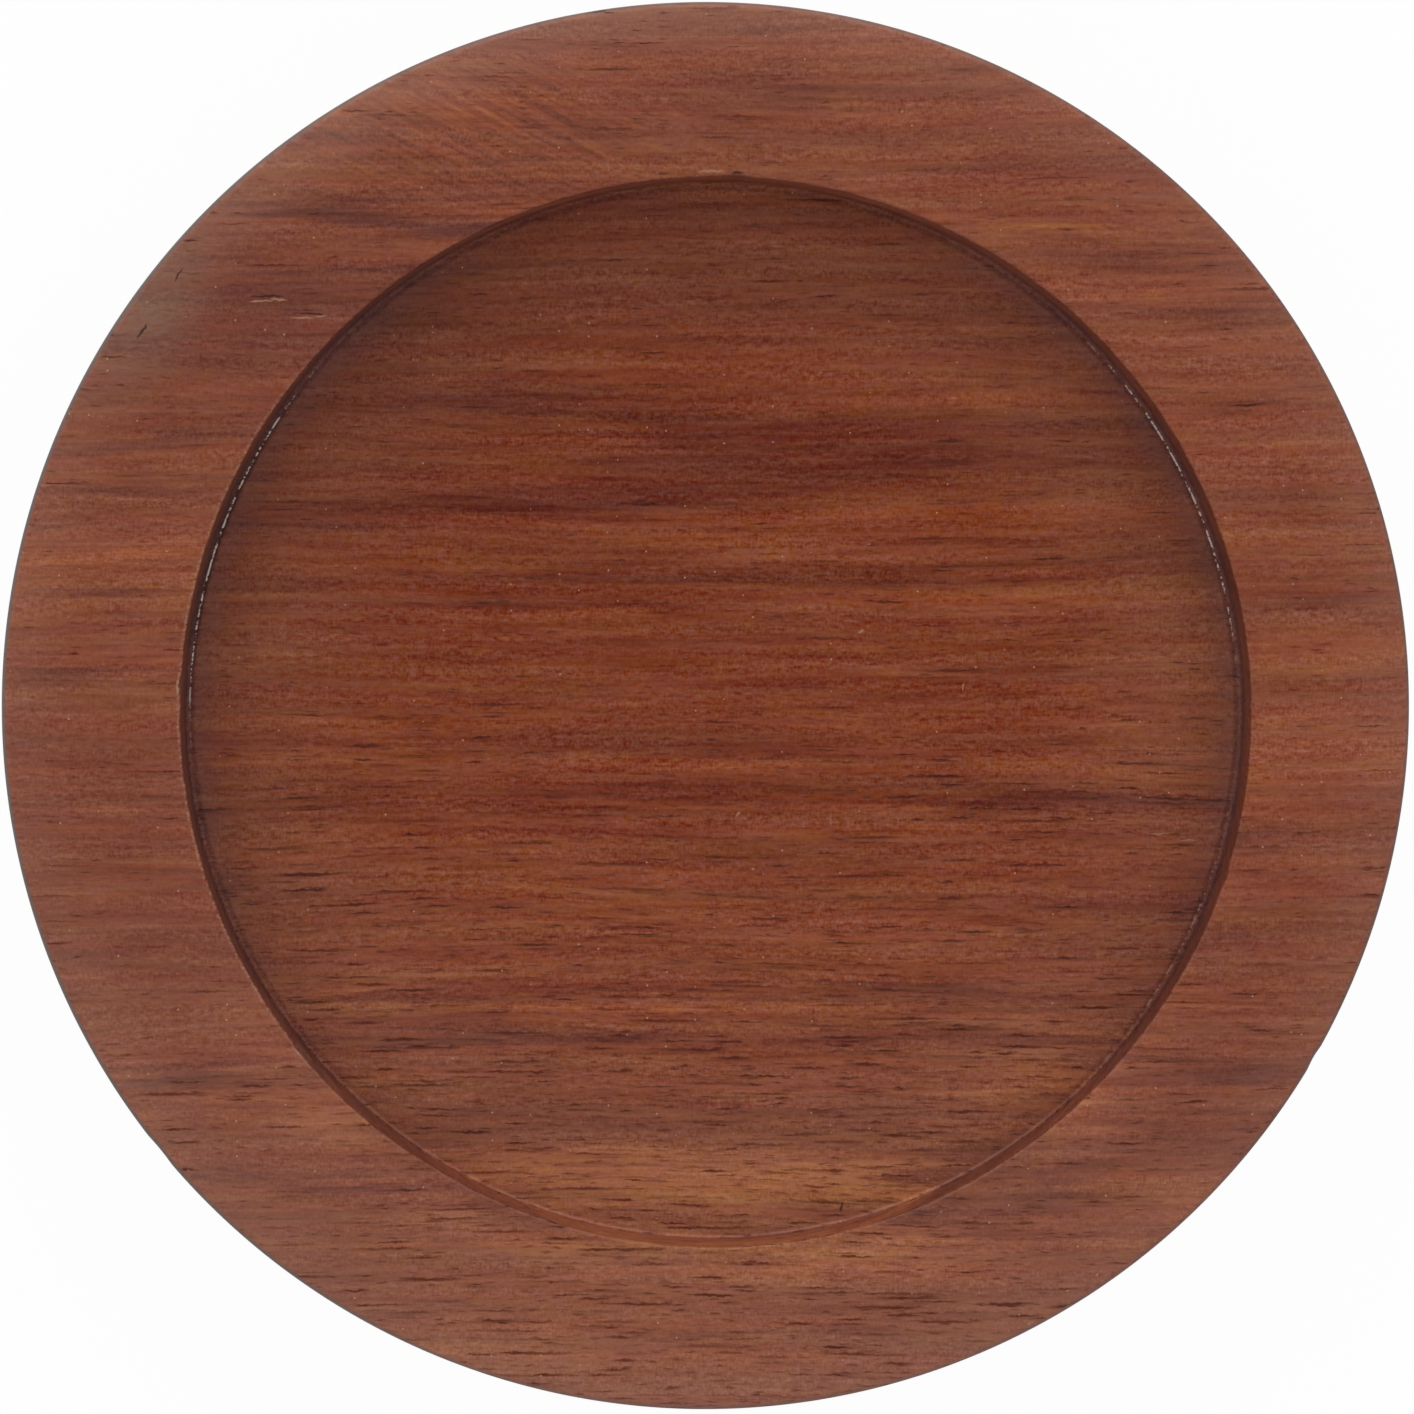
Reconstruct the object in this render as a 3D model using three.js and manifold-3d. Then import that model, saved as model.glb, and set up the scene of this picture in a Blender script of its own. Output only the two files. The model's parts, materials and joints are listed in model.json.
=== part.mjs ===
// Pepper mill tray: a round hardwood board with a shallow recess that takes the mill's foot
// and catches the grounds, standing on small round rubber pads.
// Millimetres, +Z up, with the origin on the table under the middle of the board.

import * as THREE from 'three';
import { mergeVertices } from 'three/addons/utils/BufferGeometryUtils.js';
import Module from 'manifold-3d';

const wasm = await Module();
wasm.setup();

// Board
const boardDiameter = 90;
const boardThickness = 12;
const topEdgeRadius = 0.5;
const bottomEdgeRadius = 1.2;

// Recess, which this tray has slightly off the board's middle
const recessDiameter = 68.4;
const recessDepth = 4.5;
const recessOffsetX = 0.6;
const recessOffsetY = -0.35;
const wallDraftDegrees = 1.5;
const footFilletRadius = 0.3;
const recessEdgeRadius = 0.2;

// Non-slip pads, set in from the board's side
const padCount = 4;
const padDiameter = 10;
const padThickness = 1.5;
const padEdgeRadius = 0.35;
const padInset = 7;
const firstPadAngleDegrees = 45;

// Facets: steps round each piece, and half the steps in each rounded edge
const boardSegments = 96;
const padSegments = 32;
const edgeDivisions = 2;
const cutterOverrun = 2;

const boardRadius = boardDiameter / 2;
const boardBottom = padThickness;
const boardTop = boardBottom + boardThickness;

const woodMaterial = new THREE.MeshStandardMaterial({
  color: 0x7d4432,
  roughness: 0.45,
  metalness: 0,
});
const padMaterial = new THREE.MeshStandardMaterial({
  color: 0x2b2724,
  roughness: 0.85,
  metalness: 0,
});

// Turns an outline, drawn as radius and height, about the vertical axis.
function revolve(outline, segments) {
  const geometry = new THREE.LatheGeometry(outline.getPoints(edgeDivisions), segments);
  geometry.rotateX(Math.PI / 2);
  return geometry;
}

// A disc's outline from the axis at its lower face to the axis at its upper face, edges rounded.
function discOutline(radius, bottom, top, lowerEdge, upperEdge) {
  const outline = new THREE.Path();
  outline.moveTo(0, bottom);
  outline.lineTo(radius - lowerEdge, bottom);
  outline.absarc(radius - lowerEdge, bottom + lowerEdge, lowerEdge, -Math.PI / 2, 0);
  outline.lineTo(radius, top - upperEdge);
  outline.absarc(radius - upperEdge, top - upperEdge, upperEdge, 0, Math.PI / 2);
  outline.lineTo(0, top);
  return outline;
}

// The recess's outline: flat floor, fillet at the wall's foot, drafted wall, eased upper edge.
// recessDiameter is measured across the wall at the height of the rim.
function recessOutline() {
  const draft = THREE.MathUtils.degToRad(wallDraftDegrees);
  const floor = boardTop - recessDepth;
  const wallRadiusAt = (height) => recessDiameter / 2 - (boardTop - height) * Math.tan(draft);
  const filletTop = floor + footFilletRadius * (1 - Math.sin(draft));
  const filletCentre = wallRadiusAt(filletTop) - footFilletRadius * Math.cos(draft);
  const edgeBottom = boardTop - recessEdgeRadius * (1 - Math.sin(draft));
  const edgeCentre = wallRadiusAt(edgeBottom) + recessEdgeRadius * Math.cos(draft);
  const outline = new THREE.Path();
  outline.moveTo(0, floor);
  outline.lineTo(filletCentre, floor);
  outline.absarc(filletCentre, floor + footFilletRadius, footFilletRadius, -Math.PI / 2, -draft);
  outline.lineTo(wallRadiusAt(edgeBottom), edgeBottom);
  outline.absarc(
    edgeCentre,
    boardTop - recessEdgeRadius,
    recessEdgeRadius,
    Math.PI - draft,
    Math.PI / 2,
    true,
  );
  outline.lineTo(edgeCentre, boardTop + cutterOverrun);
  outline.lineTo(0, boardTop + cutterOverrun);
  return outline;
}

// A closed solid from a geometry, with its shared corners welded and the flat slivers at the axis dropped.
function toSolid(geometry) {
  geometry.deleteAttribute('normal');
  geometry.deleteAttribute('uv');
  const welded = mergeVertices(geometry);
  const corners = welded.index.array;
  const triangles = [];
  for (let i = 0; i < corners.length; i += 3) {
    const triangle = corners.slice(i, i + 3);
    if (new Set(triangle).size === 3) {
      triangles.push(...triangle);
    }
  }
  const mesh = new wasm.Mesh({
    numProp: 3,
    vertProperties: welded.attributes.position.array,
    triVerts: new Uint32Array(triangles),
  });
  return new wasm.Manifold(mesh);
}

function toGeometry(solid) {
  const mesh = solid.getMesh();
  const geometry = new THREE.BufferGeometry();
  geometry.setAttribute('position', new THREE.BufferAttribute(mesh.vertProperties, 3));
  geometry.setIndex(new THREE.BufferAttribute(mesh.triVerts, 1));
  geometry.computeVertexNormals();
  return geometry;
}

// The turned board with the recess cut into it.
function makeBoard() {
  const outline = discOutline(boardRadius, boardBottom, boardTop, bottomEdgeRadius, topEdgeRadius);
  const blank = toSolid(revolve(outline, boardSegments));
  const recess = revolve(recessOutline(), boardSegments);
  recess.translate(recessOffsetX, recessOffsetY, 0);
  const board = new THREE.Mesh(toGeometry(blank.subtract(toSolid(recess))), woodMaterial);
  board.name = 'tray_body';
  return board;
}

// One pad, its upper face against the board's underside.
function makePad(number) {
  const outline = discOutline(padDiameter / 2, 0, padThickness, padEdgeRadius, padEdgeRadius);
  const pad = new THREE.Mesh(revolve(outline, padSegments), padMaterial);
  const pitchRadius = boardRadius - padInset - padDiameter / 2;
  const turn = THREE.MathUtils.degToRad(firstPadAngleDegrees) + (number * 2 * Math.PI) / padCount;
  pad.position.set(pitchRadius * Math.cos(turn), pitchRadius * Math.sin(turn), 0);
  pad.name = `non_slip_pad_${number + 1}`;
  return pad;
}

const tray = new THREE.Group();
tray.name = 'pepper_mill_tray';
tray.add(makeBoard());
for (let number = 0; number < padCount; number += 1) {
  tray.add(makePad(number));
}

export default tray;
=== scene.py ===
import json
import math

import bmesh
import bpy
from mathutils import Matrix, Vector, noise


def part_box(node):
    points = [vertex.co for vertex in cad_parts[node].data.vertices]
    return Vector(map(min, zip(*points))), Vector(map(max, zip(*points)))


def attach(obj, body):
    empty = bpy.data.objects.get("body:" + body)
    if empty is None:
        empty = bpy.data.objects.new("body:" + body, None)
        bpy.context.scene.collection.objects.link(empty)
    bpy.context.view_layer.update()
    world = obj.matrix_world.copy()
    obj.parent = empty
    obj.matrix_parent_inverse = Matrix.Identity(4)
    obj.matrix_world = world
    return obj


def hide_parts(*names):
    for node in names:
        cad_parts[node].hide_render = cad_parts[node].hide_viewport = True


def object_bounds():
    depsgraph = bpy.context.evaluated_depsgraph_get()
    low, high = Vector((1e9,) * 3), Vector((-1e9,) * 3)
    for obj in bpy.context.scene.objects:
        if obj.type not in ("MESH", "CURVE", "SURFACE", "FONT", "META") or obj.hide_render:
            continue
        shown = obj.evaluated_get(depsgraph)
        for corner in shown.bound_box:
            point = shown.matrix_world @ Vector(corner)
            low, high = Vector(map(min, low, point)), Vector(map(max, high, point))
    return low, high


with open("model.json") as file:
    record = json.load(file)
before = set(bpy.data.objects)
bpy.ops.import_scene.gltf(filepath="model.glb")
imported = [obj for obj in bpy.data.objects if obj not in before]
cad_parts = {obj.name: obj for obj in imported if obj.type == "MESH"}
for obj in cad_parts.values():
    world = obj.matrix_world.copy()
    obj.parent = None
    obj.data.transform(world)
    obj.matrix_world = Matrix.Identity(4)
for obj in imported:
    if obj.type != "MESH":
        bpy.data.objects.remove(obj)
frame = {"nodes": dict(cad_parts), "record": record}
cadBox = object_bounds()
mm = 0.001
mergeGap = 0.0005  # millimetres, below which two vertices of a piece become one
mounts = {mount["name"]: mount for mount in frame["record"]["mounts"]}
seat = Vector(mounts["mill_seat"]["pos_m"]) / mm  # middle of the recess's floor
print("frame loaded, nodes:", ", ".join(sorted(frame["nodes"])))


# One socket of a finish, so that shader maths reads as a plain expression
class Shade:
    def __init__(self, finish, socket):
        self.finish = finish
        self.socket = socket

    def maths(self, operation, first, second=0.0):
        return self.finish.node("ShaderNodeMath", {"operation": operation}, {0: first, 1: second})

    def __add__(self, other):
        return self.maths("ADD", self, other)

    def __radd__(self, other):
        return self.maths("ADD", other, self)

    def __sub__(self, other):
        return self.maths("SUBTRACT", self, other)

    def __rsub__(self, other):
        return self.maths("SUBTRACT", other, self)

    def __mul__(self, other):
        return self.maths("MULTIPLY", self, other)

    def __rmul__(self, other):
        return self.maths("MULTIPLY", other, self)

    def __truediv__(self, other):
        return self.maths("DIVIDE", self, other)

    def __pow__(self, other):
        return self.maths("POWER", self, other)

    def atMost(self, limit):
        return self.maths("MINIMUM", self, limit)

    def atLeast(self, limit):
        return self.maths("MAXIMUM", self, limit)

    def other(self, output):
        return Shade(self.finish, self.socket.node.outputs[output])


# The nodes of a material or of the sky
class Finish:
    def __init__(self, holder):
        self.holder = holder
        holder.use_nodes = True
        self.tree = holder.node_tree
        self.tree.nodes.clear()

    def node(self, kind, settings, sockets, output=0):
        made = self.tree.nodes.new(kind)
        for name, value in settings.items():
            if name == "stops":
                self.setStops(made.color_ramp.elements, value)
            else:
                setattr(made, name, value)
        for key, value in sockets.items():
            if isinstance(value, Shade):
                self.tree.links.new(value.socket, made.inputs[key])
            else:
                made.inputs[key].default_value = value
        return Shade(self, made.outputs[output]) if len(made.outputs) else None

    def setStops(self, elements, stops):
        while len(elements) < len(stops):
            elements.new(1.0)
        for element, (place, colour) in zip(elements, stops):
            element.position = place
            element.color = colour

    def place(self):  # where a point lies on the tray, in millimetres
        return self.scaled(self.node("ShaderNodeTexCoord", {}, {}, "Object"), 1 / mm)

    def scaled(self, vector, factor):
        return self.node("ShaderNodeVectorMath", {"operation": "SCALE"}, {0: vector, "Scale": factor})

    def vectors(self, operation, first, second):  # maths on vectors and colours
        return self.node("ShaderNodeVectorMath", {"operation": operation}, {0: first, 1: second})

    def centred(self, channels):  # noise in three channels, from about -0.5 to 0.5
        return self.vectors("SUBTRACT", channels, (0.5, 0.5, 0.5))

    def split(self, vector):
        x = self.node("ShaderNodeSeparateXYZ", {}, {0: vector}, "X")
        return x, x.other("Y"), x.other("Z")

    def join(self, x, y, z):
        return self.node("ShaderNodeCombineXYZ", {}, {"X": x, "Y": y, "Z": z})

    def ease(self, value, start, end, low=0.0, high=1.0):  # smooth step from low to high
        sockets = {"Value": value, "From Min": start, "From Max": end, "To Min": low, "To Max": high}
        return self.node("ShaderNodeMapRange", {"interpolation_type": "SMOOTHSTEP"}, sockets)

    def cloud(self, vector, detail=2.0, roughness=0.5, scale=1.0, output="Fac"):
        sockets = {"Vector": vector, "Scale": scale, "Detail": detail, "Roughness": roughness}
        return self.node("ShaderNodeTexNoise", {}, sockets, output)

    def cells(self, vector, scale=1.0):  # how far a point is from the middle of its cell
        return self.node("ShaderNodeTexVoronoi", {}, {"Vector": vector, "Scale": scale}, "Distance")

    def turned(self, vector, centre, turn, size):  # a pattern's own place, direction and size
        sockets = {"Vector": vector, "Location": centre, "Scale": size}
        sockets["Rotation"] = (0, 0, math.radians(turn))
        return self.node("ShaderNodeMapping", {"vector_type": "TEXTURE"}, sockets)

    def spot(self, vector, centre, turn, size, strength=1.0):  # soft oval round a point
        local = self.turned(vector, centre, turn, size)
        cone = self.node("ShaderNodeTexGradient", {"gradient_type": "SPHERICAL"}, {"Vector": local}, "Fac")
        return self.ease(cone, 0.0, 1.0, 0.0, strength)

    def mix(self, share, first, second, blend="MIX"):
        settings = {"data_type": "RGBA", "blend_type": blend}
        return self.node("ShaderNodeMix", settings, {0: share, 6: first, 7: second}, 2)

    def ramp(self, value, stops):
        return self.node("ShaderNodeValToRGB", {"stops": stops}, {"Fac": value}, "Color")

    def bump(self, height, distance, strength=1.0):
        sockets = {"Height": height, "Distance": distance, "Strength": strength}
        return self.node("ShaderNodeBump", {}, sockets, "Normal")

    def surface(self, sockets):
        shader = self.node("ShaderNodeBsdfPrincipled", {}, sockets, "BSDF")
        self.node("ShaderNodeOutputMaterial", {}, {"Surface": shader})
        return self.holder


# The turned board: sizes in millimetres
board = {
    "node": "tray_body",
    "topEase": 0.5,  # rounding of the outer edges
    "bottomEase": 1.2,
    "recessWidth": 68.4,  # across the wall at the height of the rim
    "wallDraft": 1.5,  # degrees
    "lipEase": 0.2,
    "footFillet": 0.3,
    "steps": 960,  # round the board
    "easeSteps": 6,
    "lipMargin": 0.8,  # flat strip of rim that follows the recess's lip
    "lipWaver": 0.03,  # unevenness left by the cutter
    "waverScale": 0.9,  # waves of it for each millimetre round the lip
    "edgeZone": 1.2,  # how far nicks reach in from the edge, in roundings of that edge
    "lipZone": 1.5,  # and chips from the lip
    "lipChips": [  # direction in degrees, half length, depth; a negative depth stands inward
        (88, 1.2, 0.10),
        (177, 0.9, 0.09),
        (220, 1.2, 0.08),
        (226, 7, 0.10),
        (315, 14, -0.09),
        (342, 0.8, 0.10),
    ],
    "edgeNicks": [  # likewise in the outer edge
        (330, 0.8, 0.07),
        (219, 1.2, 0.06),
    ],
}


# Makes a mesh object from a bmesh drawn in millimetres
def finishPiece(bm, name, material):
    bmesh.ops.remove_doubles(bm, verts=bm.verts[:], dist=mergeGap)
    bmesh.ops.recalc_face_normals(bm, faces=bm.faces[:])
    bmesh.ops.scale(bm, vec=(mm, mm, mm), verts=bm.verts[:])
    for face in bm.faces:
        face.smooth = True
    mesh = bpy.data.meshes.new(name)
    bm.to_mesh(mesh)
    bm.free()
    mesh.materials.append(material)
    piece = bpy.data.objects.new(name, mesh)
    bpy.context.scene.collection.objects.link(piece)
    return piece


# How deep a row of chips goes at a direction round an edge of this radius
def chipDepth(direction, radius, chips):
    depth = 0.0
    for middle, halfLength, deepest in chips:
        away = math.remainder(direction - math.radians(middle), math.tau) * radius
        depth += deepest * max(0.0, 1 - (away / halfLength) ** 2)
    return depth


# Draws the board's section and turns it once round the upright axis
def turnBoard(board):
    low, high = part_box(board["node"])
    radius = (high[0] - low[0]) / 2 / mm
    bottom, top = low[2] / mm, high[2] / mm
    floor = seat.z
    lip = board["recessWidth"] / 2
    foot = lip - (top - floor) * math.tan(math.radians(board["wallDraft"]))
    section = [  # radius, height, rounding
        (0, bottom, 0),
        (radius, bottom, board["bottomEase"]),
        (radius, top, board["topEase"]),
        (lip + board["lipMargin"], top, 0),
        (lip, top, board["lipEase"]),
        (foot, floor, board["footFillet"]),
        (0, floor, 0),
    ]
    bm = bmesh.new()
    corners = [bm.verts.new((reach, 0, height)) for reach, height, ease in section]
    for start, end in zip(corners, corners[1:]):
        bm.edges.new((start, end))
    for corner, (reach, height, ease) in zip(corners, section):
        if ease:
            bmesh.ops.bevel(
                bm,
                geom=[corner],
                offset=ease,
                affect="VERTICES",
                segments=board["easeSteps"],
                profile=0.5,
                material=-1,
            )
    bmesh.ops.spin(
        bm,
        geom=bm.verts[:] + bm.edges[:],
        cent=(0, 0, 0),
        axis=(0, 0, 1),
        dvec=(0, 0, 0),
        angle=math.tau,
        steps=board["steps"],
        use_merge=True,
    )
    wearEdges(bm, board, radius, lip, top)
    # the recess is turned about its own axis, so its vertices move there
    recessReach = lip + board["lipMargin"] + 2 * mergeGap
    underFloor = (bottom + floor) / 2
    cut = [v for v in bm.verts if v.co.z > underFloor and v.co.to_2d().length < recessReach]
    bmesh.ops.translate(bm, verts=cut, vec=(seat.x, seat.y, 0))
    return bm


# Small chips in the recess's lip and nicks in the outer edge
def wearEdges(bm, board, radius, lip, top):
    edgeStart = radius - board["edgeZone"] * board["topEase"]
    lipEnd = lip + board["lipZone"] * board["lipEase"]
    lipBottom = top - board["lipZone"] * board["lipEase"]
    for v in bm.verts:
        if v.co.z < top - 2 * board["topEase"]:
            continue
        reach = v.co.to_2d().length
        direction = math.atan2(v.co.y, v.co.x)
        outward = Vector((v.co.x, v.co.y, 0)) / reach
        if reach > edgeStart:
            v.co -= outward * chipDepth(direction, radius, board["edgeNicks"])
        elif reach < lipEnd and v.co.z > lipBottom:
            waver = noise.noise(outward * lip * board["waverScale"]) * board["lipWaver"]
            v.co += outward * (chipDepth(direction, lip, board["lipChips"]) + waver)


# Figure of the wood: x along the grain, y across it on the recess's floor, in millimetres
figure = {
    "lean": 0.5,  # how far the growth layers lean across for each millimetre of height
    "wander": 2.0,  # slow waves of the grain
    "feather": 3.5,  # how far streaks break up the sides of a band
    "fingers": 35.0,  # and its ends
    "ground": 0.55,  # tone of the wood between the bands
    "bands": [  # along, across, turn in degrees, reach along, reach across, lighter or darker
        (-11, 20, -7, 20, 2, -0.22),
        (14, 17, 0, 26, 3.5, -0.2),
        (-9, 13.3, 4, 34, 2.3, -0.29),
        (4, 11.8, 2, 38, 2.2, 0.11),
        (1, 8.5, 2, 46, 1, -0.24),
        (-10, 6.8, 2, 22, 1, -0.28),
        (20, 7, 2, 16, 2, 0.12),
        (-2, -2.5, 0, 24, 1.8, -0.12),
        (-22, -6.1, 0, 14, 1.4, -0.2),
        (0, -5.7, 0, 22, 1.3, -0.26),
        (24, -6.2, -1, 15, 2.1, -0.33),
        (0, -9.5, 0, 20, 1.8, -0.1),
        (3, -11.5, 0, 38, 1.8, 0.08),
        (-19, -19, 1, 12, 0.8, -0.2),
        (18, -18.4, 1, 20, 1, -0.28),
        (-6, -19.8, 1, 20, 0.9, 0.24),
        (-13, -21.5, -1, 19, 1.7, -0.28),
        (9, -21.8, -1, 24, 1.2, -0.07),
        (4, -24.8, -1, 30, 3, 0.12),
        (1, -31.6, -1, 30, 4.6, 0.42),
        (14, 20, -1, 17, 2, 0.24),
        (4, 42, -4, 8, 3, -0.18),
        (19, 37, 0, 10, 0.8, -0.1),
        (25, 33.5, -2, 10, 0.8, -0.17),
        (25, 32.5, -1, 9, 0.8, 0.24),
        (27, 31, -3, 10, 1, -0.16),
        (30, 29, -2, 7, 1.3, 0.18),
        (31, 27.5, -3, 10, 1.3, -0.2),
        (-21, 33.5, -7, 8, 2.3, -0.28),
        (-35, 19.5, 4, 8, 1.7, -0.22),
        (-36, 16, -2, 8, 0.8, -0.22),
        (-37, 12, 4, 6, 2.3, 0.18),
        (-39, 9, -1, 8, 0.6, -0.26),
        (-39, 4.5, -1, 7, 0.8, -0.28),
        (35.5, 21.5, 6, 7, 0.9, -0.22),
        (37, 15, -5, 6, 2.5, -0.1),
        (39, 9, -1, 8, 0.8, -0.2),
        (39.5, 4, 2, 7, 0.8, -0.2),
        (-32.5, -21.5, 3, 7, 1.5, -0.26),
        (35.5, -21, 1, 7, 1.9, -0.22),
        (-25.5, -28.5, -3, 9, 1.3, -0.16),
        (-30, 27, 0, 20, 12, -0.2),
        (-8, 25, 0, 30, 12, -0.05),
        (40, 2, 0, 11, 9, 0.17),
        (2, 33, 0, 18, 2, 0.2),
        # painted light: lightens the floor where the recess wall shades it
        (23, 23, -45, 12, 5, 0.07),
        (29, -1, 0, 9, 10, 0.16),
        # painted light: these two lighten the floor where the recess wall shades it
        (22, -23, 45, 13, 5, 0.26),
        (-22, -23, -45, 13, 5, 0.2),
        (-10, -38, 0, 24, 7, 0.12),
        (-16, 35, 15, 11, 3, -0.16),
        (20, -28.6, 20, 10, 3, -0.26),
        (22, 21, 0, 10, 4, 0.12),
        (36, -14, -60, 14, 7, -0.02),
        (2, -15.5, 0, 30, 2, 0.08),
        (-30, -26, -45, 10, 6, -0.06),
        (-22, -22, 0, 9, 1.3, -0.16),
        (-20, 36.5, 0, 12, 5, -0.06),
        (-40, 2, 0, 8, 10, -0.05),
        (20, -32, 0, 10, 4, -0.08),
        (0, 25, 0, 14, 5, -0.05),
        (-17, 16.3, 0, 12, 1.4, -0.1),
        (-1, 16.6, 0, 9, 3, -0.12),
        (-8, 9.8, 0, 16, 1.6, -0.14),
        (-17, -16.2, 0, 14, 2, 0.1),
        (-4, -18.6, 0, 16, 0.7, -0.16),
        (12, 2.4, 0, 10, 1.6, 0.1),
    ],
    "floorBandHeight": 3.0,  # how far the floor's own bands reach up
    "floorBands": [  # golden streaks on the floor that end below the rim, partly painted light beside the lower wall
        (-11, -29.5, -1, 12, 1.5, 0.15),
        (11, -30.4, 0, 11, 1.9, 0.36),
        (-14, -33.2, -3, 11, 1.4, 0.16),
    ],
    "streaks": {  # noise in the growth layers: size along, across and up, detail, roughness
        "wave": (40, 12, 12, 1.0, 0.5),
        "tear": (35, 1.1, 3, 4.0, 0.65),
        "broad": (80, 3, 5, 5.0, 0.75),
        "grain": (7, 0.5, 0.8, 2.0, 0.55),
        "fibre": (0.6, 0.24, 0.5, 2.0, 0.7),
        "fleck": (0.16, 0.3, 0.5, 1.0, 0.5),
        "rows": (12, 0.9, 3, 1.0, 0.5),
        "ember": (16, 1.7, 3, 2.0, 0.6),
        "blush": (1.8, 0.8, 1, 1.0, 0.5),
    },
    "broadTone": 0.8,  # how much broad streaks and grain lighten or darken the wood
    "grainTone": 0.36,
    "fibreGrit": 0.46,  # and single fibres, flecks and grain
    "fleckGrit": 0.28,
    "grainGrit": 0.2,
    "gritBase": 0.35,  # in the darkest wood
    "gritGain": 1.3,  # and how much more in light wood
    "redTones": [  # from the darkest layers to the lightest, where the wood is reddest
        (0.0, (0.062, 0.009, 0.004, 1)),
        (0.25, (0.120, 0.021, 0.0115, 1)),
        (0.5, (0.191, 0.038, 0.0147, 1)),
        (0.75, (0.265, 0.063, 0.0232, 1)),
        (1.0, (0.385, 0.122, 0.040, 1)),
    ],
    "amberTones": [  # and where it is brownest
        (0.0, (0.060, 0.010, 0.004, 1)),
        (0.25, (0.115, 0.024, 0.0125, 1)),
        (0.5, (0.185, 0.044, 0.0172, 1)),
        (0.75, (0.258, 0.073, 0.0283, 1)),
        (1.0, (0.380, 0.135, 0.046, 1)),
    ],
    "poreShade": (0.34, 0.18, 0.10, 1),
    "blushShade": (0.97, 0.915, 1.03, 1),  # cool red patches
    "emberShade": (1.05, 1.06, 0.83, 1),  # warm orange patches
    "gritColour": (0.30, 0.195, 0.175),  # how single fibres lighten the wood
    "darkest": (0.02, 0.006, 0.003),
    "bareWoodAndHighlight": (0.42, 0.23, 0.15, 1),  # bare wood where the lacquer is broken, and a painted highlight on the lip's left side
    "tornColour": (0.34, 0.17, 0.105, 1),  # torn grain
    # dark of cracks, also the painted shadow beside the beads in the recess's corner
    "crackAndShadowShade": (0.14, 0.12, 0.12, 1),
    "hazeAndSheenColour": (0.70, 0.52, 0.42, 1),  # grey of the rim's sanded, dry look, also used as painted sheen
    "rimHaze": 0.03,  # share of it on the rim
    "edgeHaze": 0.04,  # painted sheen towards the outer edge
    "cornerHaze": 0.06,  # more painted sheen, most of all at the upper left
    "lowerHaze": 0.038,  # towards the lower edge
    "borderHaze": 0.028,  # and on the floor near the wall
    "cornerSlope": 0.35,  # how much the way left counts beside the way up
    "swirl": (-15, 37.5, -28, (20, 8, 6)),  # slanting grain on the rim: along, across, turn, reach
    "slantSize": (6, 0.3, 2),
    "slantNoise": (2.0, 0.6),  # detail, roughness
    "slantLevel": 0.46,  # where it leaves the tone as it is
    "knot": (-35.2, 25.2, 60, (8, 4.5, 4)),  # grey wood round two cracks, given likewise
    "knotStrength": 1.2,
    "knotColour": (0.145, 0.076, 0.048, 1),
    "pores": [  # spacing along and across the grain, depth, how much commoner than the others
        (3.8, 0.29, 1.0, 0.0),
        (7.0, 0.30, 0.9, 0.0),
        (1.5, 0.20, 0.75, 0.14),
    ],
    "poreRows": 1.8,  # how strongly they keep to rows
    "poreRagged": 0.35,  # how far fibres fray them
    "faintest": 0.42,  # depth of the faintest
    "poreWidth": 0.28,  # share of their spacing
    "poreSpread": 0.24,  # and how much wider the widest are
    "poreCore": 0.08,  # where they are darkest
    "poreRuns": [  # long rows of open pores: along, across, reach along, reach across, how many more
        (23, -6.3, 14, 2, 1.4),
        (-11, -34.6, 5, 0.5, 0.5),
        (-4, -24, 16, 0.8, 0.5),
        (6, -26, 18, 0.7, 0.5),
        (6, -31, 18, 2, 0.85),
        (-8, -30.5, 14, 3, 0.7),
    ],
    "speckScale": 1.6,  # pale specks for each millimetre
    "speckShare": 0.9,
    "shake": (0.4, 0.22, 0.4),  # how uneven the marks are
    "shakeNoise": (1.0, 0.5, 2.5),
    "markHeight": 2.0,  # how far a mark reaches up and down
    "markStrength": 1.6,
    "markLimit": 0.8,  # how far it hides the wood
    "markMargin": 0.4,  # from the lip to where the floor's marks end
    "darkMarks": [  # along, across, turn in degrees, half length, half width
        (-33.7, 27.6, 60, 0.65, 0.12),
        (-36, 24, 60, 0.8, 0.14),
        (-28, 26.2, 0, 1.5, 0.1),
        (-25.2, 25.1, -3, 1.6, 0.08),
        (1.9, 34.1, 0, 0.5, 0.16),
        (8.8, -32.4, 90, 0.5, 0.14),
    ],
    "paleMarks": [
        (-28.4, 25.9, 4, 1.1, 0.08),
        (-27.3, 26, -5, 0.8, 0.09),
        (-25.7, 24.85, -2, 1.0, 0.07),
        (-24.6, 24.95, 5, 0.6, 0.07),
        (0.2, 34.2, 0, 1.2, 0.12),
        (-33.75, 1.4, 90, 0.9, 0.12),
        (33.1, -10.9, 72, 0.7, 0.12),
        (-25.9, -22.3, -50, 1.2, 0.1),
        (31.2, -8.7, 2, 0.9, 0.06),
        (29.2, -8.3, 0, 0.7, 0.06),
        (16.6, 1.2, 80, 0.35, 0.08),
        (2.1, -7, 60, 0.25, 0.1),
        (10, 4.8, 30, 0.3, 0.12),
    ],
    "sideShade": (0.76, 0.72, 0.74, 1),  # cut sides are darker than the faces
    "endShade": (0.70, 0.68, 0.72, 1),  # and end grain soaks up more lacquer
    "arrisSheenAndShade": (0.13, 0.105, 0.095, 1),  # painted sheen and shade on the outer edge, strongest at the left
    "recessShade": (0.64, 0.58, 0.62, 1),  # painted shade: the corner at the wall's foot, the wall's lower sides and the lower lip
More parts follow.
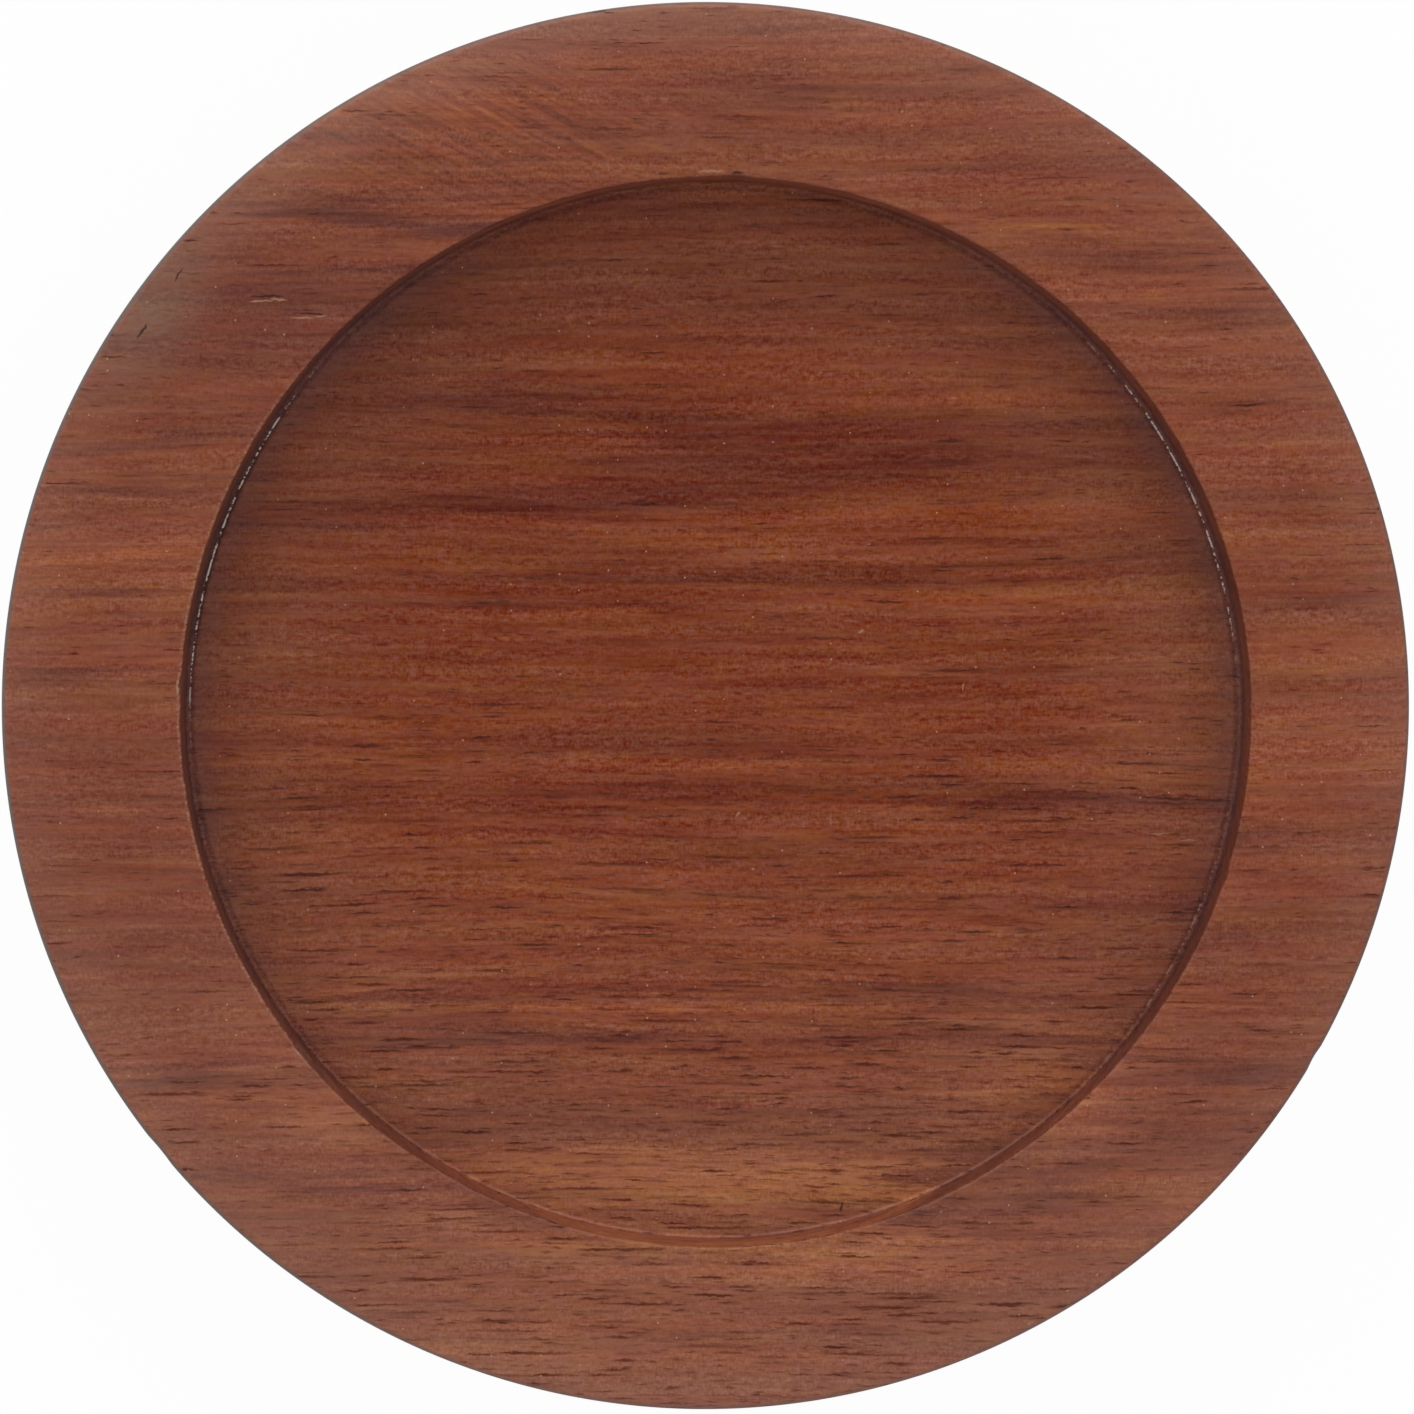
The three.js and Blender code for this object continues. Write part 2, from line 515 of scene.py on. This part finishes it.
    "wallShade": (0.85, 0.73, 0.64, 1),  # redder wall at the recess's lower side
    "shadeFilmColour": (0.10, 0.11, 0.15, 1),  # painted shade, bluish, on the floor beside the wall
    "shadeFilmShare": 0.13,
    "glintResidueColour": (0.78, 0.67, 0.61, 1),  # pale beads in the corner of the recess: polish left there, and painted highlight
    "beadArcs": [  # direction in degrees, half length, how closely the beads sit
        (161, 26, 1.5),
        (25, 20, 1.5),
        (335, 14, 0.2),
    ],
    "arcWidth": 4.0,  # half width of the strip that holds the beads
    "beadNoise": (2.0, 0.6, 4.5),  # detail, roughness, scale
    "gapNoise": (1.0, 0.5, 0.8),  # gaps in the rows of beads
    "gapShare": 0.6,
    "beadLimit": 0.75,  # how far a bead hides the wood
    "steps": {  # smooth steps: start, end, and the levels at both where they aren't 0 and 1
        # in the noise of the wood
        "gritRows": (0.2, -0.2, 0.5, 1.5),
        "amber": (-0.1, 0.1),
        "ember": (-0.15, 0.2),
        "knotFibres": (-0.2, 0.2, 0.15, 0.65),
        "poreShown": (0.0, 0.1),
        "speckChosen": (0.86, 0.88),
        "speckSize": (0.13, 0.06),
        "grooveBeads": (0.6, 0.4, 0.6, 1.3),
        "residueBeads": (0.74, 0.92),
        "wornBeads": (0.4, 0.7),
        # up from the recess's floor
        "upper": (-2, -1),
        "low": (2.5, 0.4),
        "arrisHeight": (3.6, 4.1),
        # outwards from the lip
        "film": (-2.6, -0.5),
        "groove": (-0.8, -0.5),
        "shadowInner": (-0.62, -0.5),
        "shadowOuter": (-0.1, -0.25),
        "threadInner": (-0.46, -0.41),
        "threadOuter": (-0.32, -0.36),
        "rim": (-0.2, 0.2),
        "wornInner": (-0.05, 0.1),
        "wornOuter": (0.3, 0.15),
        "lowLipInner": (-0.02, 0.12),
        "lowLipOuter": (1.8, 0.2),
        "inside": (1.0, 0.5),
        "arrisReach": (2, 4),
        # along and across the grain
        "rimHazeRight": (10, 40, 1.0, 0.7),
        "lowerHazeRight": (15, 40, 1.0, 0.4),
        "lowerHaze": (0, -34),
        "cornerHaze": (28, 50),
        "crowd": (14, -34, 0.1, 0.92),
        "rimPores": (60, 700, 0.1, 0.72),
        "arrisLeft": (0, -40, 0.3, 0.75),
        # the same from the middle of the recess
        "filmLower": (-26, -2),
        "grooveLower": (-31, -17),
        "ruddyLower": (-22, -31),
        "soakedUpper": (-5, -20),
        "soakedLower": (-33, -23, 0.0, 0.6),
        "lowLipLower": (-24, -33, 0.0, 0.75),
        "wornLower": (10, -30, 0.0, 0.03),
        "wornLeft": (-23, -31, 0.0, 0.5),
        "shadowLeft": (-8, -24, 0.0, 0.4),
        # outwards from the middle of the recess and of the board
        "borderHaze": (20, 31),
        "edgeHaze": (39.5, 45.5),
        # tilt of a face, and how near it is to the ends of the grain
        "side": (0.95, 0.3),
        "arrisTilt": (0.9, 0.5),
        "filmEnds": (0.05, 0.4),
    },
    "roughness": 0.42,
    "rimRoughness": 0.12,  # and more on the rim, in fibres, pores and the painted shade at the wall's foot
    "fibreRoughness": 0.12,
    "poreRoughness": 0.2,
    "footShadeRoughness": 0.3,
    "gloss": 0.2,
    "coat": 0.05,  # thin lacquer
    "footShadeCoat": 0.04,  # less of it where the wall's foot has painted shade
    "coatRoughness": 0.15,
    "coatIndex": 1.7,
    "fibreRelief": 0.25,
    "grainRelief": 0.2,
    "reliefDepth": 0.04,
    "reliefStrength": 0.6,
}


# The board's finish: each method lays one more thing on the colour
class Hardwood(Finish):
    def __init__(self, figure):
        super().__init__(bpy.data.materials.new("lacquered_hardwood"))
        self.figure = figure
        self.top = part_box(board["node"])[1][2] / mm
        self.lip = board["recessWidth"] / 2
        self.point = self.place()
        self.along, self.across, self.height = self.split(self.point)
        self.rise = self.height - seat.z

        # growth layers lean with height, wave slowly and tear into streaks
        self.layer = self.across
        wave = self.streaks("wave")
        self.layer = self.across + self.rise * figure["lean"] + wave * figure["wander"]
        tearAlong, tearAcross, self.warmth = self.split(self.streaks("tear", "Color"))
        self.tornAlong = self.along + tearAlong * figure["fingers"]
        self.tornAcross = self.layer + tearAcross * figure["feather"]
        self.flat = self.join(self.tornAlong, self.tornAcross, 0.0)
        self.broad = self.streaks("broad")
        self.grain = self.streaks("grain")
        self.fibre = self.streaks("fibre")
        self.rows = self.streaks("rows")
        self.beads = self.cloud(self.point, *figure["beadNoise"])

        # distances about the recess
        self.offset = self.vectors("SUBTRACT", self.point, seat)
        self.offAlong, self.offAcross = self.split(self.offset)[:2]
        self.reach = (self.offAlong * self.offAlong + self.offAcross * self.offAcross) ** 0.5
        self.fromLip = self.reach - self.lip
        self.upper = self.step(self.rise, "upper")
        self.inside = self.step(self.fromLip, "inside")
        self.rim = self.step(self.fromLip, "rim")

    def step(self, value, name):
        return self.ease(value, *self.figure["steps"][name])

    def streaks(self, name, output="Fac"):  # noise drawn out along the grain, from about -0.5 to 0.5
        sizeAlong, sizeAcross, sizeUp, detail, roughness = self.figure["streaks"][name]
        drawn = self.join(self.along / sizeAlong, self.layer / sizeAcross, self.height / sizeUp)
        made = self.cloud(drawn, detail, roughness, output=output)
        return self.centred(made) if output == "Color" else made - 0.5

    def growth(self):  # bands, streaks and single fibres
        figure = self.figure
        deep = self.join(self.tornAlong, self.tornAcross, self.rise)
        tone = figure["ground"]
        spans = (("bands", self.flat, 1), ("floorBands", deep, figure["floorBandHeight"]))
        for bands, vector, reachUp in spans:
            for along, across, turn, reachAlong, reachAcross, strength in figure[bands]:
                size = (reachAlong, reachAcross, reachUp)
                tone = tone + self.spot(vector, (along, across, 0), turn, size, strength)
        tone = tone + self.broad * figure["broadTone"] + self.grain * figure["grainTone"]
        grit = self.fibre * figure["fibreGrit"] + self.streaks("fleck") * figure["fleckGrit"]
        grit = grit * (figure["gritBase"] + tone * figure["gritGain"]) * self.step(self.rows, "gritRows")
        grit = grit + self.grain * figure["grainGrit"]

        # slanting grain on part of the rim
        along, across, turn, size = figure["swirl"]
        swirl = self.spot(self.point, (along, across, self.top), 0, size)
        slant = self.turned(self.point, (0, 0, 0), turn, figure["slantSize"])
        tone = tone + swirl * (self.cloud(slant, *figure["slantNoise"]) - figure["slantLevel"])

        red = self.ramp(tone, figure["redTones"])
        colour = self.mix(self.step(self.warmth, "amber"), red, self.ramp(tone, figure["amberTones"]))
        patches = self.step(self.streaks("ember") + self.streaks("blush"), "ember")
        hue = self.mix(patches, figure["blushShade"], figure["emberShade"])
        colour = self.mix(1.0, colour, hue, "MULTIPLY")
        colour = self.vectors("ADD", colour, self.scaled(figure["gritColour"], grit))
        return self.vectors("MAXIMUM", colour, figure["darkest"])

    def greyKnot(self, colour):
        figure = self.figure
        along, across, turn, size = figure["knot"]
        knot = self.spot(self.point, (along, across, self.top), turn, size, figure["knotStrength"])
        return self.mix(knot * self.step(self.fibre + self.broad, "knotFibres"), colour, figure["knotColour"])

    def dryHazeAndSheen(self, colour):  # the rim is drier than the floor, and painted sheen lightens it towards the outer edge
        figure = self.figure
        hazeAndSheen = self.rim * self.step(self.along, "rimHazeRight") * figure["rimHaze"]
        hazeAndSheen = hazeAndSheen + (1 - self.rim) * self.step(self.reach, "borderHaze") * figure["borderHaze"]
        lower = self.step(self.across, "lowerHaze") * self.step(self.along, "lowerHazeRight")
        hazeAndSheen = hazeAndSheen + lower * figure["lowerHaze"]
        # painted sheen: towards the outer edge, most of all at the upper left
        corner = self.step(self.across - self.along * figure["cornerSlope"], "cornerHaze")
        fromMiddle = (self.along * self.along + self.across * self.across) ** 0.5
        edge = self.step(fromMiddle, "edgeHaze")
        hazeAndSheen = hazeAndSheen + edge * (figure["edgeHaze"] + corner * figure["cornerHaze"])
        return self.mix(hazeAndSheen, colour, figure["hazeAndSheenColour"])

    def openPores(self, colour):  # dark dashes in rows, closer together towards the board's lower edge
        figure = self.figure
        fewer = self.rim * self.step(self.along * self.along, "rimPores")
        crowd = self.step(self.across, "crowd") * (1 - fewer) + self.rows * figure["poreRows"]
        for along, across, reach, width, more in figure["poreRuns"]:
            crowd = crowd + self.spot(self.flat, (along, across, 0), 0, (reach, width, 1), more)
        ragged = self.layer + self.fibre * figure["poreRagged"]
        pore = 0.0
        for spaceAlong, spaceAcross, depth, commoner in figure["pores"]:
            spaced = self.join(self.along / spaceAlong, ragged / spaceAcross, self.height / spaceAcross)
            dash = self.cells(spaced)
            chance, strength, size = self.split(dash.other("Color"))
            shown = self.step(crowd - chance + commoner, "poreShown")
            shown = shown * self.ease(strength, 0.0, 1.0, figure["faintest"], depth)
            width = figure["poreWidth"] + size * figure["poreSpread"]
            pore = pore + self.ease(dash, width, figure["poreCore"]) * shown
        self.pore = pore.atMost(1.0)
        return self.mix(self.pore, colour, figure["poreShade"], "MULTIPLY")

    def paleSpecks(self, colour):
        figure = self.figure
        dots = self.cells(self.point, figure["speckScale"])
        chosen = self.step(self.split(dots.other("Color"))[0], "speckChosen")
        speck = self.step(dots, "speckSize") * chosen
        return self.mix(speck * figure["speckShare"], colour, figure["bareWoodAndHighlight"])

    def scars(self, colour):  # cracks, torn grain and chipped places
        figure = self.figure
        shake = self.centred(self.cloud(self.point, *figure["shakeNoise"], "Color"))
        shaken = self.vectors("ADD", self.point, self.vectors("MULTIPLY", shake, figure["shake"]))
        inks = (("darkMarks", figure["crackAndShadowShade"], "MULTIPLY"), ("paleMarks", figure["tornColour"], "MIX"))
        for marks, ink, blend in inks:
            share = 0.0
            for along, across, turn, halfLength, halfWidth in figure[marks]:
                onFloor = math.hypot(along - seat.x, across - seat.y) < self.lip - figure["markMargin"]
                centre = (along, across, seat.z if onFloor else self.top)
                size = (halfLength, halfWidth, figure["markHeight"])
                share = share + self.spot(shaken, centre, turn, size, figure["markStrength"])
            colour = self.mix(share.atMost(figure["markLimit"]), colour, ink, blend)
        return colour

    def cutSides(self, colour):  # dark sides, darker end grain and a thin grey line of painted sheen and shade on the outer edge
        figure = self.figure
        facing = self.split(self.node("ShaderNodeNewGeometry", {}, {}, "Normal"))
        endWays = facing[0] * facing[0]
        level = facing[2] * facing[2]
        self.side = self.step(level, "side")
        colour = self.mix(self.side, colour, figure["sideShade"], "MULTIPLY")
        colour = self.mix(self.side * endWays, colour, figure["endShade"], "MULTIPLY")
        # painted sheen and shade on the outer edge, strongest at the left
        arrisSheen = self.step(level, "arrisTilt") * self.step(self.fromLip, "arrisReach")
        arrisSheen = arrisSheen * self.step(self.rise, "arrisHeight") * self.step(self.along, "arrisLeft")
        return self.mix(arrisSheen, colour, figure["arrisSheenAndShade"])

    def recessFoot(self, colour):  # painted shade: bluish on the floor beside the wall, and darker in the corner at its foot
        figure = self.figure
        low = self.step(self.rise, "low") * self.inside * self.upper
        endWays = self.offAlong * self.offAlong / (self.reach * self.reach + 1)
        # painted shade, bluish, on the floor beside the wall
        film = self.step(self.fromLip, "film") * low
        film = film * self.step(endWays, "filmEnds") * self.step(self.offAcross, "filmLower")
        colour = self.mix(film * figure["shadeFilmShare"], colour, figure["shadeFilmColour"])
        # painted shade in the corner at the wall's foot
        groove = self.step(self.fromLip, "groove") * low * self.step(self.offAcross, "grooveLower")
        self.groove = groove * self.step(self.beads, "grooveBeads")
        return self.mix(self.groove, colour, figure["recessShade"], "MULTIPLY")

    def recessWall(self, colour):  # redder at the lower side, with painted shade on the wall beside that and on the lower lip
        figure = self.figure
        wall = self.side * self.inside * self.upper
        ruddy = wall * self.step(self.offAcross, "ruddyLower")
        colour = self.mix(ruddy, colour, figure["wallShade"], "MULTIPLY")
        # painted shade on the wall's lower sides and on the lower lip
        shaded = wall * self.step(self.offAcross, "soakedUpper") * self.step(self.offAcross, "soakedLower")
        lowLip = self.step(self.fromLip, "lowLipInner") * self.step(self.fromLip, "lowLipOuter")
        shaded = shaded + lowLip * self.step(self.offAcross, "lowLipLower") * self.upper
        return self.mix(shaded, colour, figure["recessShade"], "MULTIPLY")

    def glintAndPolishBeads(self, colour):  # pale beads in the corner, both polish and painted highlight, with painted shadow beside them
        figure = self.figure
        arcs = 0.0
        for direction, halfLength, closeness in figure["beadArcs"]:
            turn = math.radians(direction)
            centre = (math.cos(turn) * self.lip, math.sin(turn) * self.lip, 0)
            size = (figure["arcWidth"], halfLength, figure["arcWidth"])
            arcs = arcs + self.spot(self.offset, centre, direction, size, closeness)
        arcs = arcs * self.upper
        # painted shadow: a dark line beside the beads, stronger on the left
        shadow = self.step(self.fromLip, "shadowInner") * self.step(self.fromLip, "shadowOuter")
        shadow = shadow * arcs * self.step(self.offAlong, "shadowLeft")
        colour = self.mix(shadow, colour, figure["crackAndShadowShade"], "MULTIPLY")
        # the pale beads: polish, and painted highlight
        thread = self.step(self.fromLip, "threadInner") * self.step(self.fromLip, "threadOuter")
        gaps = self.cloud(self.point, *figure["gapNoise"])
        glintResidue = thread * arcs * self.step(self.beads + gaps * figure["gapShare"], "residueBeads")
        return self.mix(glintResidue.atMost(figure["beadLimit"]), colour, figure["glintResidueColour"])

    def wornLipAndHighlight(self, colour):
        # pale line on the lip: wear, and on the left a painted highlight
        wornAndLit = self.step(self.fromLip, "wornInner") * self.step(self.fromLip, "wornOuter")
        faded = self.step(self.offAcross, "wornLower") + self.step(self.offAlong, "wornLeft")
        wornAndLit = wornAndLit * self.step(self.beads, "wornBeads") * faded * self.upper
        return self.mix(wornAndLit, colour, self.figure["bareWoodAndHighlight"])


def hardwood(figure):
    wood = Hardwood(figure)
    colour = wood.growth()
    colour = wood.greyKnot(colour)
    colour = wood.dryHazeAndSheen(colour)
    colour = wood.openPores(colour)
    colour = wood.paleSpecks(colour)
    colour = wood.scars(colour)
    colour = wood.cutSides(colour)
    colour = wood.recessFoot(colour)
    colour = wood.recessWall(colour)
    colour = wood.glintAndPolishBeads(colour)
    colour = wood.wornLipAndHighlight(colour)
    rough = figure["roughness"] + wood.rim * figure["rimRoughness"] + wood.fibre * figure["fibreRoughness"]
    rough = rough + wood.pore * figure["poreRoughness"] + wood.groove * figure["footShadeRoughness"]
    relief = wood.fibre * figure["fibreRelief"] + wood.grain * figure["grainRelief"]
    return wood.surface(
        {
            "Base Color": colour,
            "Roughness": rough,
            "Specular IOR Level": figure["gloss"],
            "Coat Weight": figure["coat"] - wood.groove * figure["footShadeCoat"],
            "Coat Roughness": figure["coatRoughness"],
            "Coat IOR": figure["coatIndex"],
            "Normal": wood.bump(relief, figure["reliefDepth"] * mm, figure["reliefStrength"]),
        }
    )


# The stick-on pads: sizes in millimetres
pad = {
    "nodes": ["non_slip_pad_1", "non_slip_pad_2", "non_slip_pad_3", "non_slip_pad_4"],
    "edgeEase": 0.35,
    "lip": 1.1,  # width of the raised ring that grips the table
    "dish": 0.12,  # how far the middle stands back from it
    "dishSlope": 2.0,  # width of the step between them for each millimetre of its height
    "steps": 96,
    "easeSteps": 5,
    "colour": (0.024, 0.020, 0.018, 1),
    "dustColour": (0.075, 0.066, 0.058, 1),
    "grit": (3.0, 0.6, 5.0),  # noise: detail, roughness, scale
    "dust": (3.0, 0.6, 0.7),
    "dustShare": 0.7,
    "dustFrom": 0.4,
    "dustTo": 0.7,
    "roughness": 0.72,
    "gritRoughness": 0.2,
    "gritDepth": 0.05,
    "gritStrength": 0.5,
}


def rubber(pad):
    skin = Finish(bpy.data.materials.new("pad_rubber"))
    place = skin.place()
    grit = skin.cloud(place, *pad["grit"])
    dust = skin.cloud(place, *pad["dust"]) * pad["dustShare"] + grit * (1 - pad["dustShare"])
    dusty = skin.ease(dust, pad["dustFrom"], pad["dustTo"])
    return skin.surface(
        {
            "Base Color": skin.mix(dusty, pad["colour"], pad["dustColour"]),
            "Roughness": pad["roughness"] + grit * pad["gritRoughness"],
            "Normal": skin.bump(grit, pad["gritDepth"] * mm, pad["gritStrength"]),
        }
    )


def mouldPad(pad, node):
    low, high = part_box(node)
    radius = (high[0] - low[0]) / 2 / mm
    thickness = (high[2] - low[2]) / mm
    middle = [(a + b) / 2 / mm for a, b in zip(low, high)]
    bm = bmesh.new()
    bmesh.ops.create_circle(bm, cap_ends=True, radius=radius, segments=pad["steps"])
    raised = bmesh.ops.extrude_face_region(bm, geom=bm.faces[:])
    lifted = [item for item in raised["geom"] if isinstance(item, bmesh.types.BMVert)]
    bmesh.ops.translate(bm, verts=lifted, vec=(0, 0, thickness))
    rings = [edge for edge in bm.edges if abs(edge.verts[0].co.z - edge.verts[1].co.z) < mergeGap]
    bmesh.ops.bevel(
        bm,
        geom=rings,
        offset=pad["edgeEase"],
        affect="EDGES",
        segments=pad["easeSteps"],
        profile=0.5,
        material=-1,
    )
    sole = min(bm.faces, key=lambda face: face.calc_center_median().z)
    bmesh.ops.inset_region(bm, faces=[sole], thickness=pad["lip"])
    bmesh.ops.inset_region(bm, faces=[sole], thickness=pad["dish"] * pad["dishSlope"])
    bmesh.ops.translate(bm, verts=sole.verts[:], vec=(0, 0, pad["dish"]))
    bmesh.ops.translate(bm, verts=bm.verts[:], vec=(middle[0], middle[1], low[2] / mm))
    return bm


wood = hardwood(figure)
trayBoard = finishPiece(turnBoard(board), "tray_board", wood)
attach(trayBoard, "root")
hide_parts(board["node"])
print("board turned:", len(trayBoard.data.polygons), "faces")

padSkin = rubber(pad)
for node in pad["nodes"]:
    piece = finishPiece(mouldPad(pad, node), node.replace("non_slip", "rubber"), padSkin)
    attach(piece, "root")
    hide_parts(node)
print("pads moulded:", len(pad["nodes"]))


# Floor, lights and camera
studio = {
    "floorWidth": 3.0,  # metres, as all lengths here
    "floorColour": (0.86, 0.86, 0.86, 1),
    "shadowShare": 0.04,  # how much of the floor's own shading shows under the white
    "skyLevel": 1.0,
    "overheadLevel": 0.12,  # the dark patch of ceiling round the camera
    "overheadFrom": 0.80,  # where it starts and is full, as the sine of a height
    "overheadTo": 0.95,
    "lamps": [  # name, direction in degrees, height in degrees, distance, width, length, power
        ("key softbox", 97, 22, 0.9, 0.45, 1.1, 4.7),
    ],
    "imageSide": 1414,  # pixels
    "trayRadius": 705.0,  # of the tray in that image
    "trayCentre": (707.1, 707.5),
    "cameraHeight": 0.45,  # above the rim
    "cameraOffset": (-0.010, 0.011),  # a little off the tray's axis
}


def layFloor(studio):
    paper = Finish(bpy.data.materials.new("white_paper"))
    path = paper.node("ShaderNodeLightPath", {}, {}, "Is Camera Ray")
    seen = path.atLeast(path.other("Is Glossy Ray")).atLeast(path.other("Is Transmission Ray"))
    sheet = paper.node("ShaderNodeBsdfDiffuse", {}, {"Color": studio["floorColour"]}, "BSDF")
    glow = paper.node("ShaderNodeEmission", {}, {"Color": (1, 1, 1, 1), "Strength": 1.0}, "Emission")
    share = seen * (1 - studio["shadowShare"])
    both = paper.node("ShaderNodeMixShader", {}, {0: share, 1: sheet, 2: glow}, "Shader")
    paper.node("ShaderNodeOutputMaterial", {}, {"Surface": both})
    bm = bmesh.new()
    bmesh.ops.create_grid(bm, x_segments=1, y_segments=1, size=studio["floorWidth"] / 2 / mm)
    floor = finishPiece(bm, "studio_floor", paper.holder)


def hangLamps(studio):
    low, high = cadBox
    target = Vector([(a + b) / 2 for a, b in zip(low, high)])
    for name, direction, height, distance, width, length, power in studio["lamps"]:
        lamp = bpy.data.lights.new(name, "AREA")
        lamp.shape = "RECTANGLE"
        lamp.size = length
        lamp.size_y = width
        lamp.energy = power
        turn, lift = math.radians(direction), math.radians(height)
        way = Vector((math.cos(turn) * math.cos(lift), math.sin(turn) * math.cos(lift), math.sin(lift)))
        holder = bpy.data.objects.new(name, lamp)
        holder.location = target + way * distance
        holder.rotation_euler = way.to_track_quat("Z", "Y").to_euler()
        bpy.context.scene.collection.objects.link(holder)


def paintSky(studio):
    sky = Finish(bpy.data.worlds.new("studio_sky"))
    direction = sky.node("ShaderNodeTexCoord", {}, {}, "Generated")
    up = sky.split(direction)[2]
    patch = (studio["overheadFrom"], studio["overheadTo"])
    level = sky.ease(up, *patch, studio["skyLevel"], studio["overheadLevel"])
    glow = sky.node("ShaderNodeBackground", {}, {"Color": (1, 1, 1, 1), "Strength": level}, "Background")
    sky.node("ShaderNodeOutputWorld", {}, {"Surface": glow})
    bpy.context.scene.world = sky.holder


def placeCamera(studio):
    low, high = cadBox
    radius = (high[0] - low[0]) / 2
    pixel = radius / studio["trayRadius"]
    side = studio["imageSide"]
    lens = bpy.data.cameras.new("camera")
    lens.sensor_fit = "HORIZONTAL"
    lens.lens = lens.sensor_width * studio["cameraHeight"] / (side * pixel)
    camera = bpy.data.objects.new("camera", lens)
    centreX, centreY = studio["trayCentre"]
    target = Vector(((side / 2 - centreX) * pixel, (centreY - side / 2) * pixel, high[2]))
    offsetX, offsetY = studio["cameraOffset"]
    away = Vector((offsetX, offsetY, studio["cameraHeight"]))
    camera.location = target + away
    camera.rotation_euler = (math.atan2(-away.y, away.z), math.atan2(away.x, away.z), 0)
    bpy.context.scene.collection.objects.link(camera)
    bpy.context.scene.camera = camera


layFloor(studio)
hangLamps(studio)
paintSky(studio)
placeCamera(studio)
bpy.context.scene.view_settings.view_transform = "Standard"
print("studio set")
